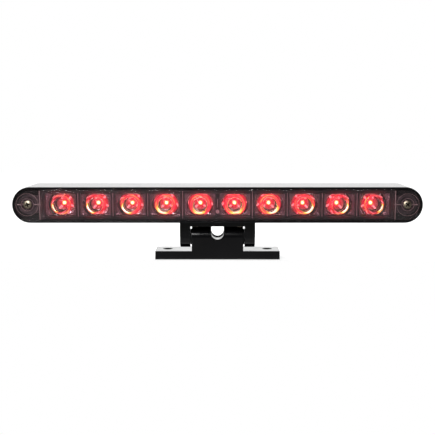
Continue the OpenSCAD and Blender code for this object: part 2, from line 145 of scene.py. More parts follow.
# The floor is matt white card with faint fibres, so bright that it runs into the background.
floor_card, tree = new_material(
    "white_card", Roughness=0.9, Emission_Color=linear("#ffffff"), Emission_Strength=0.78)
fibres = add_node(tree, "ShaderNodeTexNoise", {
    "Vector": add_node(tree, "ShaderNodeTexCoord", {}).outputs["Object"], "Scale": per_mm(2),
})
set_inputs(tree, tree.nodes["Principled BSDF"], {
    "Base Color": add_node(tree, "ShaderNodeMapRange", {
        "Value": fibres.outputs["Fac"], "To Min": 0.16, "To Max": 0.2,
    }).outputs["Result"],
})
floor_width, floor_depth, floor_front = 1800 * mm, 700 * mm, -12 * mm
below_foot = 0.1 * mm
bm = bmesh.new()
bmesh.ops.create_grid(bm, x_segments=1, y_segments=1, size=0.5)
bmesh.ops.scale(bm, verts=bm.verts, vec=(floor_width, floor_depth, 1))
bmesh.ops.translate(bm, verts=bm.verts, vec=(0, floor_depth / 2 + floor_front, -below_foot))
floor_mesh = bpy.data.meshes.new("floor")
bm.to_mesh(floor_mesh)
bm.free()
floor_mesh.materials.append(floor_card)
floor = bpy.data.objects.new("floor", floor_mesh)
bpy.context.collection.objects.link(floor)


# ---- Foot ----
# The foot is a block moulded in gloss black ABS: a plate with two mounting holes and a barrel-topped tongue.
# Its edges are softly rounded, as they leave the mould, and the notch in its middle lets the lead through.
def cad_copy(node):
    """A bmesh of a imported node's own shape, with its loose triangles merged into whole convex faces."""
    bm = bmesh.new()
    bm.from_mesh(frame["nodes"][node].data)
    bmesh.ops.remove_doubles(bm, verts=bm.verts, dist=0.002 * mm)
    bmesh.ops.dissolve_limit(bm, angle_limit=math.radians(0.3), verts=bm.verts, edges=bm.edges)
    bmesh.ops.connect_verts_concave(bm, faces=bm.faces)
    return bm


def round_edges(bm, width, segments=2, sharpest=35, where=None):
    """Rounds the edges that turn by more than an angle, or those of them whose middle where() picks."""
    edges = [
        e for e in bm.edges
        if e.is_manifold and e.calc_face_angle() > math.radians(sharpest)
        and (where is None or where((e.verts[0].co + e.verts[1].co) / 2))
    ]
    bmesh.ops.bevel(
        bm, geom=edges, offset=width, offset_type="OFFSET", affect="EDGES", segments=segments,
        profile=0.5, material=-1, clamp_overlap=True,
    )


def add_piece(bm, name, material, body, slot, *nodes):
    """Makes a bmesh a shown piece with a material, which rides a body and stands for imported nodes."""
    mesh = bpy.data.meshes.new(name)
    bm.to_mesh(mesh)
    bm.free()
    mesh.shade_smooth()
    mesh.set_sharp_from_angle(angle=math.radians(38))
    mesh.materials.append(material)
    piece = bpy.data.objects.new(name, mesh)
    bpy.context.collection.objects.link(piece)
    flats = piece.modifiers.new("flat faces", "WEIGHTED_NORMAL")
    flats.keep_sharp = True
    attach(piece, body)
    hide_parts(*nodes)


# Injection-moulded ABS from a polished mould is deep black and glossy. Its skin ripples very slightly, so
# long reflections waver a little, and handling smudges its gloss.
gloss_abs, tree = new_material("gloss_moulded_black_abs", IOR=1.53, Specular_IOR_Level=0.42)
place = add_node(tree, "ShaderNodeTexCoord", {}).outputs["Object"]
ripple = add_node(tree, "ShaderNodeTexNoise", {"Vector": place, "Scale": per_mm(3), "Detail": 2})
smudges = add_node(tree, "ShaderNodeTexNoise", {"Vector": place, "Scale": per_mm(14), "Detail": 4})
set_inputs(tree, tree.nodes["Principled BSDF"], {
    "Base Color": add_node(tree, "ShaderNodeMix", {
        "Factor": smudges.outputs["Fac"], "A": linear("#060607"), "B": linear("#0c0c0e"),
    }, data_type="RGBA").outputs["Result"],
    "Roughness": add_node(tree, "ShaderNodeMapRange", {
        "Value": smudges.outputs["Fac"], "From Min": 0.3, "From Max": 0.7, "To Min": 0.1, "To Max": 0.19,
    }).outputs["Result"],
    "Normal": add_node(tree, "ShaderNodeBump", {
        "Height": ripple.outputs["Fac"], "Strength": 0.05, "Distance": 0.02 * mm,
    }).outputs["Normal"],
})

bm = cad_copy("base_bracket")
round_edges(bm, 0.15 * mm)
add_piece(bm, "foot", gloss_abs, "base", "gloss_black_abs", "base_bracket")


# ---- Pivot screws ----
# Two pan-head M4 screws of black zinc-plated steel, one from each side, whose heads sit in the arms' pockets.
# Plating leaves them satin, with a cross recess pressed into each domed head.
black_zinc, tree = new_material("black_zinc_plated_steel", Metallic=0.85, IOR=1.5)
place = add_node(tree, "ShaderNodeTexCoord", {}).outputs["Object"]
grain = add_node(tree, "ShaderNodeTexNoise", {"Vector": place, "Scale": per_mm(0.6), "Detail": 3})
set_inputs(tree, tree.nodes["Principled BSDF"], {
    "Base Color": add_node(tree, "ShaderNodeMix", {
        "Factor": grain.outputs["Fac"], "A": linear("#16161a"), "B": linear("#2a2a2e"),
    }, data_type="RGBA").outputs["Result"],
    "Roughness": add_node(tree, "ShaderNodeMapRange", {
        "Value": grain.outputs["Fac"], "To Min": 0.28, "To Max": 0.46,
    }).outputs["Result"],
})
bm = cad_copy("pivot_screws")
round_edges(bm, 0.1 * mm)
add_piece(bm, "pivot_screws", black_zinc, "base", "black_zinc_steel", "pivot_screws")


# ---- Friction washers ----
# Two thin black nylon washers, punched from sheet, between the tongue and the arms.
# They are dull, with the faint tooth of the sheet.
nylon, tree = new_material("punched_black_nylon", IOR=1.53)
place = add_node(tree, "ShaderNodeTexCoord", {}).outputs["Object"]
tooth = add_node(tree, "ShaderNodeTexNoise", {"Vector": place, "Scale": per_mm(0.3), "Detail": 2})
set_inputs(tree, tree.nodes["Principled BSDF"], {
    "Base Color": add_node(tree, "ShaderNodeMix", {
        "Factor": tooth.outputs["Fac"], "A": linear("#0d0d0e"), "B": linear("#161618"),
    }, data_type="RGBA").outputs["Result"],
    "Roughness": 0.55,
    "Normal": add_node(tree, "ShaderNodeBump", {
        "Height": tooth.outputs["Fac"], "Strength": 0.3, "Distance": 0.02 * mm,
    }).outputs["Normal"],
})
bm = cad_copy("pivot_washers")
round_edges(bm, 0.08 * mm)
add_piece(bm, "pivot_washers", nylon, "base", "black_nylon", "pivot_washers")


# ---- Yoke ----
# The yoke is one gloss black ABS moulding: a crossbar screwed under the housing, and two round-ended arms.
# The outer rims of the arms' round ends are chamfered more than its other edges.
hinge_z = frame["joints"][0]["pos_m"][2]
arm_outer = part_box("yoke_bracket")[1].x
bm = cad_copy("yoke_bracket")
round_edges(
    bm, 0.6 * mm, segments=3,
    where=lambda p: abs(p.x) > arm_outer - 0.1 * mm and p.z < hinge_z + 0.5 * mm)
round_edges(bm, 0.12 * mm, sharpest=50)
add_piece(bm, "yoke", gloss_abs, "head", "gloss_black_abs", "yoke_bracket")


# ---- Housing ----
# The housing is a deep round-ended trough in gloss black ABS, with a thin rim that stands round the lens.
# Its back edge is well rounded, and inside are a ledge for the gasket and a post at each end.
housing_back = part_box("housing_shell")[1].y
bm = cad_copy("housing_shell")
round_edges(bm, 0.9 * mm, segments=4, where=lambda p: p.y > housing_back - 0.05 * mm)
round_edges(bm, 0.12 * mm, sharpest=50)
add_piece(bm, "housing", gloss_abs, "head", "gloss_black_abs", "housing_shell")


# ---- Gasket ----
# The gasket is die-cut from black rubber sheet, and shows as a dull line through the lens's flange.
# The flange and the tray's ears squeeze it against the housing's ledge.
rubber, tree = new_material("black_rubber_sheet", IOR=1.52)
place = add_node(tree, "ShaderNodeTexCoord", {}).outputs["Object"]
talc = add_node(tree, "ShaderNodeTexNoise", {"Vector": place, "Scale": per_mm(0.5), "Detail": 4})
set_inputs(tree, tree.nodes["Principled BSDF"], {
    "Base Color": add_node(tree, "ShaderNodeMix", {
        "Factor": talc.outputs["Fac"], "A": linear("#121213"), "B": linear("#222223"),
    }, data_type="RGBA").outputs["Result"],
    "Roughness": 0.7,
    "Normal": add_node(tree, "ShaderNodeBump", {
        "Height": talc.outputs["Fac"], "Strength": 0.3, "Distance": 0.03 * mm,
    }).outputs["Normal"],
})
bm = cad_copy("lens_gasket")
round_edges(bm, 0.1 * mm, sharpest=50)
add_piece(bm, "gasket", rubber, "head", "black_rubber", "lens_gasket")


# ---- Grommet ----
# The grommet is a moulded rubber bush that lines the lead's way out, through the floor and the crossbar.
# Its flange lies inside the housing.
bm = cad_copy("cable_grommet")
round_edges(bm, 0.25 * mm, segments=3)
add_piece(bm, "grommet", rubber, "head", "black_rubber", "cable_grommet")


# ---- Inserts ----
# Brass bushes, turned and knurled, are pressed into the posts and take the lens screws.
# Turned brass is warm and bright, with the fine rings that the tool leaves.
brass, tree = new_material("turned_brass", Metallic=1.0, Roughness=0.28)
place = add_node(tree, "ShaderNodeTexCoord", {}).outputs["Object"]
rings = add_node(tree, "ShaderNodeTexWave", {
    "Vector": place, "Scale": per_mm(0.25), "Distortion": 0.4,
}, bands_direction="Y")
set_inputs(tree, tree.nodes["Principled BSDF"], {
    "Base Color": add_node(tree, "ShaderNodeMix", {
        "Factor": rings.outputs["Fac"], "A": linear("#c79a4b"), "B": linear("#dcb566"),
    }, data_type="RGBA").outputs["Result"],
})
bm = cad_copy("post_inserts")
round_edges(bm, 0.1 * mm)
add_piece(bm, "inserts", brass, "head", "brass", "post_inserts")


# ---- Tray ----
# The tray is moulded in matt black ABS. It carries the board and the reflectors, and the lens screws clamp
# its ears. A spark-textured mould gives it a fine, even grain.
matt_abs, tree = new_material("textured_black_abs", IOR=1.53)
place = add_node(tree, "ShaderNodeTexCoord", {}).outputs["Object"]
spark = add_node(tree, "ShaderNodeTexNoise", {"Vector": place, "Scale": per_mm(0.4), "Detail": 3})
set_inputs(tree, tree.nodes["Principled BSDF"], {
    "Base Color": add_node(tree, "ShaderNodeMix", {
        "Factor": spark.outputs["Fac"], "A": linear("#464346"), "B": linear("#5a5659"),
    }, data_type="RGBA").outputs["Result"],
    "Roughness": 0.42,
    "Normal": add_node(tree, "ShaderNodeBump", {
        "Height": spark.outputs["Fac"], "Strength": 0.35, "Distance": 0.04 * mm,
    }).outputs["Normal"],
})
bm = cad_copy("lamp_tray")
round_edges(bm, 0.12 * mm, sharpest=50)
add_piece(bm, "tray", matt_abs, "head", "matt_black_abs", "lamp_tray")


# ---- Circuit board ----
# The board is glass-epoxy laminate under green solder mask, cut to length by routing.
# Copper tracks show through the mask as paler lines along the strip.
mask, tree = new_material("green_solder_mask", IOR=1.5, Roughness=0.3)
place = add_node(tree, "ShaderNodeTexCoord", {}).outputs["Object"]
upright = add_node(tree, "ShaderNodeMapping", {"Vector": place, "Rotation": (math.radians(90), 0, 0)})
tracks = add_node(tree, "ShaderNodeTexBrick", {
    "Vector": upright.outputs["Vector"],
    "Color1": linear("#1d6a3c"), "Color2": linear("#23754a"), "Mortar": linear("#124a28"),
    "Scale": per_mm(1), "Mortar Size": 0.12, "Brick Width": 9.0, "Row Height": 1.3,
}, offset=0.35)
set_inputs(tree, tree.nodes["Principled BSDF"], {"Base Color": tracks.outputs["Color"]})
bm = cad_copy("circuit_board")
round_edges(bm, 0.08 * mm)
add_piece(bm, "circuit_board", mask, "head", "solder_mask", "circuit_board")


# ---- Reflectors ----
# The reflectors are one moulded strip, metallised under vacuum, with a parabolic cup round each LED.
# The thin aluminium film is mirror-bright but slightly milky. A painted glow stands for the light that the
# LEDs
# scatter on it: red round each LED, and a faint purple between the cups.
led_low, led_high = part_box("led_domes")
led_middle_z = (led_low.z + led_high.z) / 2
dome_r = led_high.z - led_middle_z
led_count = 10
led_pitch = (led_high.x - led_low.x - 2 * dome_r) / (led_count - 1)
led_places = [(k - (led_count - 1) / 2) * led_pitch for k in range(led_count)]


def cell_radius(tree, place):
    """How far a point is from its LED's axis, from its place along the row and its height."""
    split = add_node(tree, "ShaderNodeSeparateXYZ", {"Vector": place}).outputs
    along = add_node(tree, "ShaderNodeMath", {0: split["X"], 1: led_pitch, 2: 0.0}, operation="WRAP")
    across = add_node(tree, "ShaderNodeMath", {
        0: along.outputs["Value"], 1: led_pitch / 2,
    }, operation="SUBTRACT")
    up = add_node(tree, "ShaderNodeMath", {0: split["Z"], 1: led_middle_z}, operation="SUBTRACT")
    flat = add_node(tree, "ShaderNodeCombineXYZ", {"X": across.outputs["Value"], "Y": up.outputs["Value"]})
    length = add_node(tree, "ShaderNodeVectorMath", {0: flat.outputs["Vector"]}, operation="LENGTH")
    return length.outputs["Value"]


film, tree = new_material("metallised_film_painted_glow", Metallic=0.9, Emission_Strength=0.4)
place = add_node(tree, "ShaderNodeTexCoord", {}).outputs["Object"]
haze = add_node(tree, "ShaderNodeTexNoise", {"Vector": place, "Scale": per_mm(2.5), "Detail": 3})
reach = cell_radius(tree, place)
# The painted purple glow runs in upright streaks, one behind each flute of the optics. A wave texture at
# scale 1 repeats every tau / 20.
flute_pitch = 0.9 * mm
flute_painted_glow = add_node(tree, "ShaderNodeTexWave", {"Vector": place, "Scale": math.tau / (20 * flute_pitch)})
set_inputs(tree, tree.nodes["Principled BSDF"], {
    "Base Color": linear("#cfc6d0"),
    "Roughness": add_node(tree, "ShaderNodeMapRange", {
        "Value": haze.outputs["Fac"], "To Min": 0.12, "To Max": 0.24,
    }).outputs["Result"],
    # Painted glow: red near each LED, purple streaks between the cups.
    "Emission Color": add_node(tree, "ShaderNodeMix", {
        "Factor": add_node(tree, "ShaderNodeMapRange", {
            "Value": reach, "From Min": 4 * mm, "From Max": 8.5 * mm,
        }).outputs["Result"],
        "A": linear("#70101e"),
        "B": add_node(tree, "ShaderNodeMix", {
            "Factor": flute_painted_glow.outputs["Fac"], "A": linear("#542c3a"), "B": linear("#b88494"),
        }, data_type="RGBA").outputs["Result"],
    }, data_type="RGBA").outputs["Result"],
})
bm = cad_copy("reflector_strip")
add_piece(bm, "reflectors", film, "head", "metallised_reflector", "reflector_strip")


# ---- LEDs ----
# Ten square LEDs are soldered along the board. Each has a pale moulded body and a clear epoxy dome over a
# chip, which is white-hot in the middle, yellow at its edge and red down its sides.
led_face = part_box("led_packages")[0].y
chip_r, chip_rise = 0.56 * mm, 0.8 * mm
chip_light, tree = new_material("red_led_chip", Base_Color=linear("#ff6a55"), Roughness=0.4)
place = add_node(tree, "ShaderNodeTexCoord", {}).outputs["Object"]
reach = cell_radius(tree, place)
heat = add_node(tree, "ShaderNodeValToRGB", {
    "Fac": add_node(tree, "ShaderNodeMath", {0: reach, 1: chip_r}, operation="DIVIDE").outputs["Value"],
})
ramp = heat.color_ramp
ramp.elements[0].position, ramp.elements[0].color = 0.0, linear("#fffdf0")
ramp.elements[1].position, ramp.elements[1].color = 1.0, linear("#ff2840")
for share, code in ((0.6, "#fff8c8"), (0.78, "#ffd048"), (0.93, "#ffb038"), (0.98, "#ff2c38")):
    step = ramp.elements.new(share)
    step.color = linear(code)
set_inputs(tree, tree.nodes["Principled BSDF"], {
    "Emission Color": heat.outputs["Color"], "Emission Strength": 4.5,
})
bm = bmesh.new()
for x in led_places:
    chip = bmesh.ops.create_cone(
        bm, cap_ends=True, segments=40, radius1=chip_r, radius2=chip_r, depth=chip_rise)["verts"]
    bmesh.ops.rotate(bm, verts=chip, matrix=Matrix.Rotation(math.radians(90), 3, "X"))
    bmesh.ops.translate(bm, verts=chip, vec=(x, led_face - chip_rise / 2, led_middle_z))
round_edges(bm, 0.1 * mm)
add_piece(bm, "led_chips", chip_light, "head", "led_red", "led_domes")

# The domes are cast in clear epoxy, smooth and faintly pink, and magnify the chip.
clear_epoxy = new_material(
    "clear_cast_epoxy", Base_Color=linear("#fff0ee"),
    Transmission_Weight=1.0, IOR=1.5, Roughness=0.0)[0]
bm = bmesh.new()
for x in led_places:
    dome = bmesh.ops.create_uvsphere(bm, u_segments=32, v_segments=16, radius=dome_r)["verts"]
    bmesh.ops.rotate(bm, verts=dome, matrix=Matrix.Rotation(math.radians(90), 3, "X"))
    bmesh.ops.translate(bm, verts=dome, vec=(x, led_face, led_middle_z))
bmesh.ops.bisect_plane(
    bm, geom=bm.verts[:] + bm.edges[:] + bm.faces[:], plane_co=(0, led_face, 0), plane_no=(0, 1, 0),
    clear_outer=True,
)
bmesh.ops.holes_fill(bm, edges=[e for e in bm.edges if e.is_boundary])
add_piece(bm, "led_domes", clear_epoxy, "head", "led_red", "led_domes")

# The bodies are moulded in pale epoxy. A painted red glow, strongest round the dome, stands for the chip's
# light inside them.
led_body, tree = new_material("led_body_painted_red_glow", IOR=1.5, Roughness=0.35, Emission_Strength=0.9)
place = add_node(tree, "ShaderNodeTexCoord", {}).outputs["Object"]
grain = add_node(tree, "ShaderNodeTexNoise", {"Vector": place, "Scale": per_mm(0.5)})
reach = cell_radius(tree, place)
set_inputs(tree, tree.nodes["Principled BSDF"], {
    "Base Color": add_node(tree, "ShaderNodeMix", {
        "Factor": grain.outputs["Fac"], "A": linear("#e8d8d0"), "B": linear("#f4e8e0"),
    }, data_type="RGBA").outputs["Result"],
    # Painted red glow, strongest near the dome.
    "Emission Color": add_node(tree, "ShaderNodeMix", {
        "Factor": add_node(tree, "ShaderNodeMapRange", {
            "Value": reach, "From Min": 1.4 * mm, "From Max": 2.8 * mm,
        }).outputs["Result"],
        "A": linear("#d82844"), "B": linear("#400c16"),
    }, data_type="RGBA").outputs["Result"],
})
bm = cad_copy("led_packages")
round_edges(bm, 0.25 * mm, segments=3)
add_piece(bm, "led_packages", led_body, "head", "led_body", "led_packages")

# Four silvered arms of the lead frame run out from each dome to the body's corners, with a painted pink glow
# on them.
silvered, tree = new_material(
    "silvered_lead_frame_painted_glow", Metallic=1.0, Roughness=0.25,
    Emission_Color=linear("#ff8088"), Emission_Strength=3.5)
place = add_node(tree, "ShaderNodeTexCoord", {}).outputs["Object"]
tarnish = add_node(tree, "ShaderNodeTexNoise", {"Vector": place, "Scale": per_mm(0.4)})
set_inputs(tree, tree.nodes["Principled BSDF"], {
    "Base Color": add_node(tree, "ShaderNodeMix", {
        "Factor": tarnish.outputs["Fac"], "A": linear("#c8c4c0"), "B": linear("#e8e4e0"),
    }, data_type="RGBA").outputs["Result"],
})
arm_start, arm_length, arm_width, arm_thick = 0.8 * mm, 1.6 * mm, 0.36 * mm, 0.08 * mm
bm = bmesh.new()
for x in led_places:
    for turn in (45, 135, 225, 315):
        arm = bmesh.ops.create_cube(bm, size=1)["verts"]
        bmesh.ops.scale(bm, verts=arm, vec=(arm_length, arm_thick, arm_width))
        bmesh.ops.translate(bm, verts=arm, vec=(arm_start + arm_length / 2, 0, 0))
        bmesh.ops.rotate(bm, verts=arm, matrix=Matrix.Rotation(math.radians(turn), 3, "Y"))
        bmesh.ops.translate(bm, verts=arm, vec=(x, led_face - arm_thick / 2, led_middle_z))
round_edges(bm, 0.02 * mm, segments=1)
add_piece(bm, "led_lead_frames", silvered, "head", "led_body", "led_packages")


# ---- Optics ----
# The optics are one strip injection moulded in clear acrylic. Each sends its LED's light straight forward by
# total reflection off its parabolic side, through a face with moulded rings, cut flat above and below.
# A ring of grooves frames the convex lens in the middle of each face, and fine flutes run between the faces.
def add_ring(bm, profile, x):
    """Adds a closed solid, turned about a line along Y at x and the LEDs' height, from (radius, y) points."""
    ring = bmesh.new()
    points = [ring.verts.new((radius, y, 0)) for radius, y in profile]
    rim = [ring.edges.new(pair) for pair in zip(points, points[1:])]
    bmesh.ops.spin(
        ring, geom=points + rim, cent=(0, 0, 0), axis=(0, 1, 0), angle=math.tau, steps=64, use_merge=True)
    bmesh.ops.remove_doubles(ring, verts=ring.verts, dist=0.001 * mm)
    bmesh.ops.recalc_face_normals(ring, faces=ring.faces)
    bmesh.ops.translate(ring, verts=ring.verts, vec=(x, 0, led_middle_z))
    ring_mesh = bpy.data.meshes.new("ring")
    ring.to_mesh(ring_mesh)
    ring.free()
    bm.from_mesh(ring_mesh)
    bpy.data.meshes.remove(ring_mesh)


def cut_away(bm, cutter):
    """Takes the cutter's solids out of a bmesh, and frees the cutter."""
    solid_mesh, cutter_mesh = bpy.data.meshes.new("solid"), bpy.data.meshes.new("cutter")
    bm.to_mesh(solid_mesh)
    cutter.to_mesh(cutter_mesh)
    solid, tool = bpy.data.objects.new("solid", solid_mesh), bpy.data.objects.new("cutter", cutter_mesh)
    for thing in (solid, tool):
        bpy.context.collection.objects.link(thing)
    cut = solid.modifiers.new("cut", "BOOLEAN")
    cut.operation, cut.solver, cut.object = "DIFFERENCE", "MANIFOLD", tool
    finished = bpy.data.meshes.new_from_object(solid.evaluated_get(bpy.context.evaluated_depsgraph_get()))
    bm.clear()
    bm.from_mesh(finished)
    cutter.free()
    for thing in (solid, tool):
        bpy.data.objects.remove(thing)
    for mesh in (finished, solid_mesh, cutter_mesh):
        bpy.data.meshes.remove(mesh)


optic_low, optic_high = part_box("optic_strip")
face_y = optic_low.y
clearance = 0.1 * mm

# The lens in the middle of a face is a spherical cap, and a moat round it comes back up to the face.
crown_r, crown_curve, crown_drop = 3.95 * mm, 6 * mm, 0.04 * mm
moat_r, moat_slope = 4.25 * mm, 0.15 * mm
crown_radii = [crown_r * math.sin(math.pi * k / 20) for k in range(11)]
crown = [
    (radius, face_y + crown_drop + crown_curve - math.sqrt(crown_curve ** 2 - radius ** 2))
    for radius in crown_radii
]
above_face = face_y - 3 * clearance
crown_cutter = crown + [(moat_r, crown[-1][1]), (moat_r + moat_slope, above_face), (0, above_face)]

# Two V-shaped grooves run round it, 0.8 mm to each side for each millimetre of depth.
groove_cutters = []
for groove_r, groove_depth in ((5.4 * mm, 0.4 * mm), (6.62 * mm, 0.3 * mm)):
    half_width = 0.8 * (groove_depth + clearance)
    groove_cutters.append([
        (groove_r - half_width, face_y - clearance), (groove_r, face_y + groove_depth),
        (groove_r + half_width, face_y - clearance), (groove_r - half_width, face_y - clearance),
    ])

# Upright half-round flutes are cut in the plate between the round faces.
face_r, plate_y = 7.75 * mm, face_y + 1.2 * mm
flute_r, flute_end = 0.3 * mm, 8.5 * mm

cutter = bmesh.new()
for x in led_places:
    for profile in [crown_cutter] + groove_cutters:
        add_ring(cutter, profile, x)
    for across in (5.3 * mm, 6.2 * mm, 7.1 * mm, 8.0 * mm, 8.8 * mm):
        start = math.sqrt(max(0, face_r ** 2 - across ** 2))
        spans = [(start, flute_end), (-flute_end, -start)] if start else [(-flute_end, flute_end)]
        for low, high in spans:
            for side in (-1, 1):
                flute = bmesh.ops.create_cone(
                    cutter, cap_ends=True, segments=12, radius1=flute_r, radius2=flute_r, depth=high - low,
                )["verts"]
                bmesh.ops.translate(cutter, verts=flute, vec=(
                    x + side * across, plate_y - clearance, led_middle_z + (low + high) / 2,
                ))

# Clear moulded acrylic is colourless and glossy, and shows only by what it bends and reflects.
acrylic = new_material(
    "clear_moulded_acrylic", Base_Color=linear("#fff4f4"),
    Transmission_Weight=1.0, IOR=1.49, Roughness=0.0)[0]
bm = cad_copy("optic_strip")
cut_away(bm, cutter)
add_piece(bm, "optics", acrylic, "head", "optic_acrylic", "optic_strip")

# The rounded bead in each face's inner groove has a painted glow for the light it pipes forward: deep red,
# with bright yellow stretches.
bead_light, tree = new_material("acrylic_bead_painted_glow", Roughness=0.1, IOR=1.49, Emission_Strength=2.2)
place = add_node(tree, "ShaderNodeTexCoord", {}).outputs["Object"]
arcs = add_node(tree, "ShaderNodeTexNoise", {"Vector": place, "Scale": per_mm(7), "Detail": 1})
set_inputs(tree, tree.nodes["Principled BSDF"], {
    "Base Color": linear("#ff8070"),
    "Emission Color": add_node(tree, "ShaderNodeMix", {
        "Factor": add_node(tree, "ShaderNodeMapRange", {
            "Value": arcs.outputs["Fac"], "From Min": 0.46, "From Max": 0.6,
        }).outputs["Result"],
        "A": linear("#b01428"), "B": linear("#ffc050"),
    }, data_type="RGBA").outputs["Result"],
})


def round_bar(ring_r, y, bar_r, sides):
    """The (radius, y) outline of a round bar that is bent into a ring."""
    turns = [math.tau * k / sides for k in range(sides + 1)]
    return [(ring_r + bar_r * math.cos(turn), y + bar_r * math.sin(turn)) for turn in turns]


bm = bmesh.new()
for x in led_places:
    add_ring(bm, round_bar(5.4 * mm, face_y + 0.17 * mm, 0.15 * mm, sides=8), x)
add_piece(bm, "optic_beads", bead_light, "head", "optic_acrylic", "optic_strip")


# ---- Bezel ----
# The bezel is a matt black frame with one opening along the LEDs and a grooved divider between the cells.
# A painted red glow beside each cell stands for the LEDs' scattered light on it.
lit_abs, tree = new_material("matt_black_abs_painted_red_glow", IOR=1.53, Roughness=0.4, Emission_Strength=0.35)
place = add_node(tree, "ShaderNodeTexCoord", {}).outputs["Object"]
spark = add_node(tree, "ShaderNodeTexNoise", {"Vector": place, "Scale": per_mm(0.4), "Detail": 3})
reach = cell_radius(tree, place)
set_inputs(tree, tree.nodes["Principled BSDF"], {
    "Base Color": add_node(tree, "ShaderNodeMix", {
        "Factor": spark.outputs["Fac"], "A": linear("#232022"), "B": linear("#2e2a2c"),
    }, data_type="RGBA").outputs["Result"],
    # Painted red glow beside each cell.
    "Emission Color": add_node(tree, "ShaderNodeMix", {
        "Factor": add_node(tree, "ShaderNodeMapRange", {
            "Value": reach, "From Min": 7 * mm, "From Max": 10.5 * mm,
        }).outputs["Result"],
        "A": linear("#a02030"), "B": linear("#2a1014"),
    }, data_type="RGBA").outputs["Result"],
})
bm = cad_copy("cell_bezel")
round_edges(bm, 0.08 * mm, sharpest=50)
add_piece(bm, "bezel", lit_abs, "head", "matt_black_abs", "cell_bezel")

# A clear rib stands in each divider's groove. The ribs and the gate mark are pinkish with a painted pink
# glow, for the little red light they pipe to the front. The middle rib is short, over a round gate mark, and
# the ribs next to it run on across the frame.
rib_painted_glow, tree = new_material(
    "acrylic_rib_painted_glow", Roughness=0.2, IOR=1.49,
    Emission_Color=linear("#b88a90"), Emission_Strength=0.3)
place = add_node(tree, "ShaderNodeTexCoord", {}).outputs["Object"]
haze = add_node(tree, "ShaderNodeTexNoise", {"Vector": place, "Scale": per_mm(1.5)})
set_inputs(tree, tree.nodes["Principled BSDF"], {
    "Base Color": add_node(tree, "ShaderNodeMix", {
        "Factor": haze.outputs["Fac"], "A": linear("#b89094"), "B": linear("#d8b0b4"),
    }, data_type="RGBA").outputs["Result"],
})
bezel_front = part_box("cell_bezel")[0].y
rib_r, rib_depth = 0.17 * mm, 0.3 * mm
window_half = (optic_high.z - optic_low.z) / 2 - 0.7 * mm
over_frame = 1.1 * mm
middle_divider = (led_count - 2) // 2
# How far the middle rib, and the ribs next to it, reach below and above the LEDs.
rib_ends = {0: (-1.5 * mm, 3.4 * mm), 1: (-window_half - over_frame, window_half + over_frame)}
bm = bmesh.new()
for k in range(led_count - 1):
    x = (led_places[k] + led_places[k + 1]) / 2
    low, high = rib_ends.get(abs(k - middle_divider), (-window_half, window_half))
    rib = bmesh.ops.create_cone(
        bm, cap_ends=True, segments=12, radius1=rib_r, radius2=rib_r, depth=high - low)["verts"]
    bmesh.ops.translate(bm, verts=rib, vec=(x, bezel_front + rib_depth, led_middle_z + (low + high) / 2))
gate_base_r, gate_top_r, gate_thick = 1.25 * mm, 1.05 * mm, 0.4 * mm
gate_depth, gate_drop = 0.25 * mm, 3.9 * mm
gate = bmesh.ops.create_cone(
    bm, cap_ends=True, segments=24, radius1=gate_base_r, radius2=gate_top_r, depth=gate_thick)["verts"]
bmesh.ops.rotate(bm, verts=gate, matrix=Matrix.Rotation(math.radians(90), 3, "X"))
bmesh.ops.translate(bm, verts=gate, vec=(0, bezel_front + gate_depth, led_middle_z - gate_drop))
add_piece(bm, "divider_ribs", rib_painted_glow, "head", "optic_acrylic", "optic_strip")


# ---- Lens ----
# The lens is one moulding of smoked polycarbonate: a round-ended flange with a raised block over the optics.
# It is clear and glossy, but takes about half of the light that passes through it.
smoked, tree = new_material(
    "smoked_polycarbonate", Base_Color=linear("#ccbcc0"),
    Transmission_Weight=0.985, IOR=1.58, Roughness=0.0)
# The studio's lights shine straight through the smoked wall on the parts behind it.
passed = add_node(tree, "ShaderNodeBsdfTransparent", {"Color": linear("#b0a0a4")})
wall = add_node(tree, "ShaderNodeMixShader", {
    0: add_node(tree, "ShaderNodeLightPath", {}).outputs["Is Shadow Ray"],
    1: tree.nodes["Principled BSDF"].outputs["BSDF"], 2: passed.outputs["BSDF"],
})
set_inputs(tree, tree.nodes["Material Output"], {"Surface": wall.outputs["Shader"]})
lens_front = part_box("smoked_lens")[0].y
block_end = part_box("cell_bezel")[1].x + 0.1 * mm
bm = cad_copy("smoked_lens")
round_edges(
    bm, 0.45 * mm, segments=1,
    where=lambda p: p.y < lens_front + 0.1 * mm and abs(p.x) > block_end - 0.1 * mm)
round_edges(bm, 0.15 * mm, sharpest=50)
add_piece(bm, "lens", smoked, "head", "smoked_polycarbonate", "smoked_lens")

# Painted light lines stand for where the moulding turns a corner and catches light: pale glowing lines run up
# the ends of the block, along the short bars behind the flange and round each screw's well.
edge_glow, tree = new_material(
    "polycarbonate_painted_light_lines", Roughness=0.2, IOR=1.58,
    Emission_Color=linear("#c8a8a4"), Emission_Strength=0.15)
place = add_node(tree, "ShaderNodeTexCoord", {}).outputs["Object"]
haze = add_node(tree, "ShaderNodeTexNoise", {"Vector": place, "Scale": per_mm(2)})
set_inputs(tree, tree.nodes["Principled BSDF"], {
    "Base Color": add_node(tree, "ShaderNodeMix", {
        "Factor": haze.outputs["Fac"], "A": linear("#7c6a6c"), "B": linear("#a89294"),
    }, data_type="RGBA").outputs["Result"],
})
screw_xs = [p.co.x for p in frame["nodes"]["lens_screws"].data.vertices if p.co.x > 0]
post_x = sum(screw_xs) / len(screw_xs)
bar_depth, line_depth, ring_depth = 3.1 * mm, 0.55 * mm, 2.2 * mm
line_r, line_height = 0.15 * mm, 16.6 * mm
bm = bmesh.new()
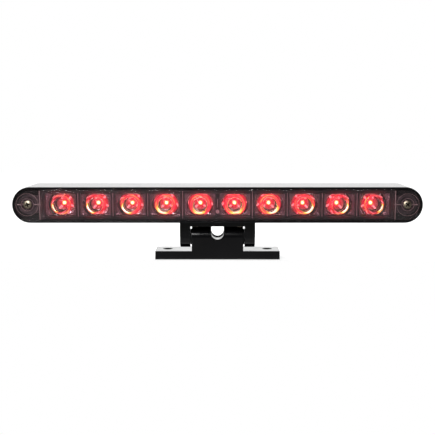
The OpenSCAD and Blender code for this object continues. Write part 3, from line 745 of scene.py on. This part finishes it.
for side in (-1, 1):
    for start, end, bar_r in (
        (block_end - 0.1 * mm, 105.2 * mm, 0.24 * mm),
        (111.2 * mm, 112 * mm, 0.3 * mm),
        (113 * mm, 115 * mm, 0.3 * mm),
    ):
        bar = bmesh.ops.create_cone(
            bm, cap_ends=True, segments=12, radius1=bar_r, radius2=bar_r, depth=end - start)["verts"]
        bmesh.ops.rotate(bm, verts=bar, matrix=Matrix.Rotation(math.radians(90), 3, "Y"))
        middle = side * (start + end) / 2
        bmesh.ops.translate(bm, verts=bar, vec=(middle, lens_front + bar_depth, led_middle_z))
    line = bmesh.ops.create_cone(
        bm, cap_ends=True, segments=12, radius1=line_r, radius2=line_r, depth=line_height)["verts"]
    bmesh.ops.translate(bm, verts=line, vec=(side * block_end, lens_front + line_depth, led_middle_z))
    for ring_r in (3.6 * mm, 6.4 * mm):
        add_ring(bm, round_bar(ring_r, lens_front + ring_depth, 0.09 * mm, sides=6), side * post_x)
add_piece(bm, "lens_painted_light_lines", edge_glow, "head", "smoked_polycarbonate", "smoked_lens")


# ---- Lens, yoke and board screws ----
# The screws are nickel-plated steel with a cross recess. The plating is bright and slightly warm.
# Two hold the lens, two the yoke and two the board.
nickel, tree = new_material("nickel_plated_steel", Metallic=1.0)
place = add_node(tree, "ShaderNodeTexCoord", {}).outputs["Object"]
wear = add_node(tree, "ShaderNodeTexNoise", {"Vector": place, "Scale": per_mm(0.7), "Detail": 4})

# Painted shade darkens the cross recess of each lens screw: near the screw's axis, and deeper
# than the domed head is at that distance from it.
screw_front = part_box("lens_screws")[0].y
dome_curve, recess_reach = 4.36 * mm, 1.5 * mm
split = add_node(tree, "ShaderNodeSeparateXYZ", {"Vector": place}).outputs
beside = add_node(tree, "ShaderNodeMath", {
    0: add_node(tree, "ShaderNodeMath", {0: split["X"]}, operation="ABSOLUTE").outputs["Value"], 1: post_x,
}, operation="SUBTRACT")
over = add_node(tree, "ShaderNodeMath", {0: split["Z"], 1: led_middle_z}, operation="SUBTRACT")
offset = add_node(tree, "ShaderNodeCombineXYZ", {"X": beside.outputs["Value"], "Y": over.outputs["Value"]})
offset = offset.outputs["Vector"]
from_axis = add_node(tree, "ShaderNodeVectorMath", {0: offset}, operation="LENGTH")
squared = add_node(tree, "ShaderNodeVectorMath", {0: offset, 1: offset}, operation="DOT_PRODUCT")
below_dome = add_node(tree, "ShaderNodeMath", {
    0: squared.outputs["Value"], 1: -0.5 / dome_curve, 2: split["Y"],
}, operation="MULTIPLY_ADD")
painted_recess_shade = add_node(tree, "ShaderNodeMath", {
    0: add_node(tree, "ShaderNodeMapRange", {
        "Value": from_axis.outputs["Value"], "From Min": 1.06 * recess_reach, "From Max": recess_reach,
    }).outputs["Result"],
    1: add_node(tree, "ShaderNodeMapRange", {
        "Value": below_dome.outputs["Value"],
        "From Min": screw_front + 0.01 * mm, "From Max": screw_front + 0.06 * mm,
    }).outputs["Result"],
}, operation="MULTIPLY")
plating = add_node(tree, "ShaderNodeMix", {
    "Factor": wear.outputs["Fac"], "A": linear("#857a68"), "B": linear("#c4b8a2"),
}, data_type="RGBA")
set_inputs(tree, tree.nodes["Principled BSDF"], {
    # Painted shade in the lens screws' cross recess.
    "Base Color": add_node(tree, "ShaderNodeMix", {
        "Factor": painted_recess_shade.outputs["Value"], "A": plating.outputs["Result"], "B": linear("#1a1612"),
    }, data_type="RGBA").outputs["Result"],
    "Roughness": add_node(tree, "ShaderNodeMapRange", {
        "Value": wear.outputs["Fac"], "To Min": 0.34, "To Max": 0.52,
    }).outputs["Result"],
})
for node in ("lens_screws", "yoke_screws", "board_screws"):
    bm = cad_copy(node)
    round_edges(bm, 0.08 * mm)
    add_piece(bm, node + "_nickel", nickel, "head", "nickel_steel", node)


# ---- Driver parts ----
# On the board's back: five resistors, a diode and a regulator in black moulded bodies, a capacitor in a drawn
# aluminium can, and the natural nylon header that takes the lead's plug.
# The moulded bodies are dull grey-black, speckled by their glassy filler.
component, tree = new_material("moulded_component_body", IOR=1.55, Roughness=0.45)
place = add_node(tree, "ShaderNodeTexCoord", {}).outputs["Object"]
filler = add_node(tree, "ShaderNodeTexNoise", {"Vector": place, "Scale": per_mm(0.3), "Detail": 2})
set_inputs(tree, tree.nodes["Principled BSDF"], {
    "Base Color": add_node(tree, "ShaderNodeMix", {
        "Factor": filler.outputs["Fac"], "A": linear("#1c1c1e"), "B": linear("#2c2c2f"),
    }, data_type="RGBA").outputs["Result"],
})
# Drawing leaves fine lines along the can's bright side.
can, tree = new_material("drawn_aluminium_can", Metallic=1.0, Roughness=0.3)
place = add_node(tree, "ShaderNodeTexCoord", {}).outputs["Object"]
draw = add_node(tree, "ShaderNodeTexNoise", {"Vector": add_node(tree, "ShaderNodeMapping", {
    "Vector": place, "Scale": (1, 0.1, 1),
}).outputs["Vector"], "Scale": per_mm(0.3)})
set_inputs(tree, tree.nodes["Principled BSDF"], {
    "Base Color": add_node(tree, "ShaderNodeMix", {
        "Factor": draw.outputs["Fac"], "A": linear("#b4b6ba"), "B": linear("#d2d4d6"),
    }, data_type="RGBA").outputs["Result"],
})
# Undyed nylon is ivory and a little cloudy.
natural, tree = new_material("natural_nylon", IOR=1.53, Roughness=0.4)
place = add_node(tree, "ShaderNodeTexCoord", {}).outputs["Object"]
cloud = add_node(tree, "ShaderNodeTexNoise", {"Vector": place, "Scale": per_mm(3)})
set_inputs(tree, tree.nodes["Principled BSDF"], {
    "Base Color": add_node(tree, "ShaderNodeMix", {
        "Factor": cloud.outputs["Fac"], "A": linear("#ded6c2"), "B": linear("#ece6d4"),
    }, data_type="RGBA").outputs["Result"],
})
for node, material, slot in (
    ("resistors", component, "component_black"),
    ("reverse_diode", component, "component_black"),
    ("current_regulator", component, "component_black"),
    ("filter_capacitor", can, "capacitor_can"),
    ("lead_header", natural, "header_nylon"),
):
    bm = cad_copy(node)
    round_edges(bm, 0.12 * mm)
    add_piece(bm, node + "_part", material, "head", slot, node)
